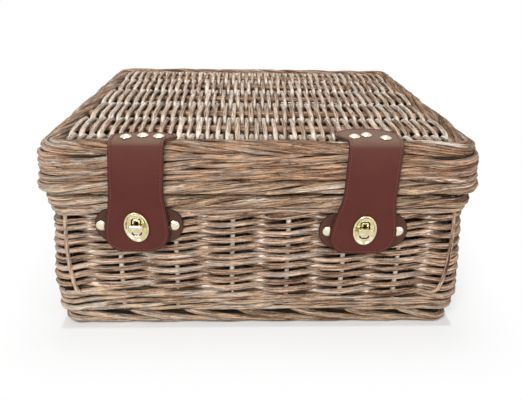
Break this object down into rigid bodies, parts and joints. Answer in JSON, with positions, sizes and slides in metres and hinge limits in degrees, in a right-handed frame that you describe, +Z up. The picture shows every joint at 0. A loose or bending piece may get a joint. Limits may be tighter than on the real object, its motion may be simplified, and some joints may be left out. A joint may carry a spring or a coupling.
{
  "type": "willow gift basket",
  "caption": "Rectangular woven willow hamper with a hinged lid, leather straps over the front and oval brass turn locks on leather tabs.",
  "frame": {"origin": "middle of the overall width and depth, on the surface that the foot stands on", "axes": "+X to the right seen from the front, +Y to the back, where the lid is hinged, +Z up"},
  "size_m": [0.414, 0.365, 0.2055],
  "materials": {
    "willow_weave": "rough",
    "willow_border": "rough",
    "willow_stake": "rough",
    "leather": "smooth",
    "brass": "polished"
  },
  "bodies": {
    "basket": {"foot_border": "willow_border", "base_panel": "willow_weave", "upset_wale": "willow_weave", "wall_weave": "willow_weave", "rim_border": "willow_border", "stake_front_1": "willow_stake", "stake_front_2": "willow_stake", "stake_front_3": "willow_stake", "stake_front_4": "willow_stake", "stake_front_5": "willow_stake", "stake_front_6": "willow_stake", "stake_back_1": "willow_stake", "stake_back_2": "willow_stake", "stake_back_3": "willow_stake", "stake_back_4": "willow_stake", "stake_back_5": "willow_stake", "stake_back_6": "willow_stake", "stake_left_1": "willow_stake", "stake_left_2": "willow_stake", "stake_left_3": "willow_stake", "stake_left_4": "willow_stake", "stake_left_5": "willow_stake", "stake_right_1": "willow_stake", "stake_right_2": "willow_stake", "stake_right_3": "willow_stake", "stake_right_4": "willow_stake", "stake_right_5": "willow_stake", "corner_post_front_left": "willow_stake", "corner_post_front_right": "willow_stake", "corner_post_back_left": "willow_stake", "corner_post_back_right": "willow_stake", "catch_tab_left": "leather", "catch_tab_right": "leather", "turnlock_base_left": "brass", "turnlock_base_right": "brass", "tab_rivet_left_1": "brass", "tab_rivet_left_2": "brass", "tab_rivet_right_1": "brass", "tab_rivet_right_2": "brass"},
    "lid": {"lid_rim_border": "willow_border", "lid_wall": "willow_weave", "lid_top_border": "willow_border", "lid_panel": "willow_weave", "hinge_loop_left": "willow_border", "hinge_loop_right": "willow_border", "strap_anchor_left": "leather", "strap_anchor_right": "leather", "strap_rivet_left_1": "brass", "strap_rivet_left_2": "brass", "strap_rivet_left_3": "brass", "strap_rivet_right_1": "brass", "strap_rivet_right_2": "brass", "strap_rivet_right_3": "brass"},
    "strap_left": {"strap_tail_left": "leather", "turnlock_plate_left": "brass"},
    "knob_left": {"turnlock_knob_left": "brass"},
    "strap_right": {"strap_tail_right": "leather", "turnlock_plate_right": "brass"},
    "knob_right": {"turnlock_knob_right": "brass"}
  },
  "joints": [
    {"name": "lid_hinge", "type": "hinge", "parent": "basket", "child": "lid", "pos_m": [0, 0.1681, 0.1403], "axis": [-1, 0, 0], "range_deg": [0, 105]},
    {"name": "strap_left_fold", "type": "hinge", "parent": "lid", "child": "strap_left", "pos_m": [-0.1125, -0.1711, 0.2016], "axis": [-1, 0, 0], "range_deg": [0, 160]},
    {"name": "knob_left_turn", "type": "hinge", "parent": "basket", "child": "knob_left", "pos_m": [-0.116, -0.1779, 0.119], "axis": [0, -1, 0], "range_deg": [0, 90]},
    {"name": "strap_right_fold", "type": "hinge", "parent": "lid", "child": "strap_right", "pos_m": [0.1036, -0.1711, 0.2016], "axis": [-1, 0, 0], "range_deg": [0, 160]},
    {"name": "knob_right_turn", "type": "hinge", "parent": "basket", "child": "knob_right", "pos_m": [0.0985, -0.1779, 0.1155], "axis": [0, -1, 0], "range_deg": [0, 90]}
  ]
}
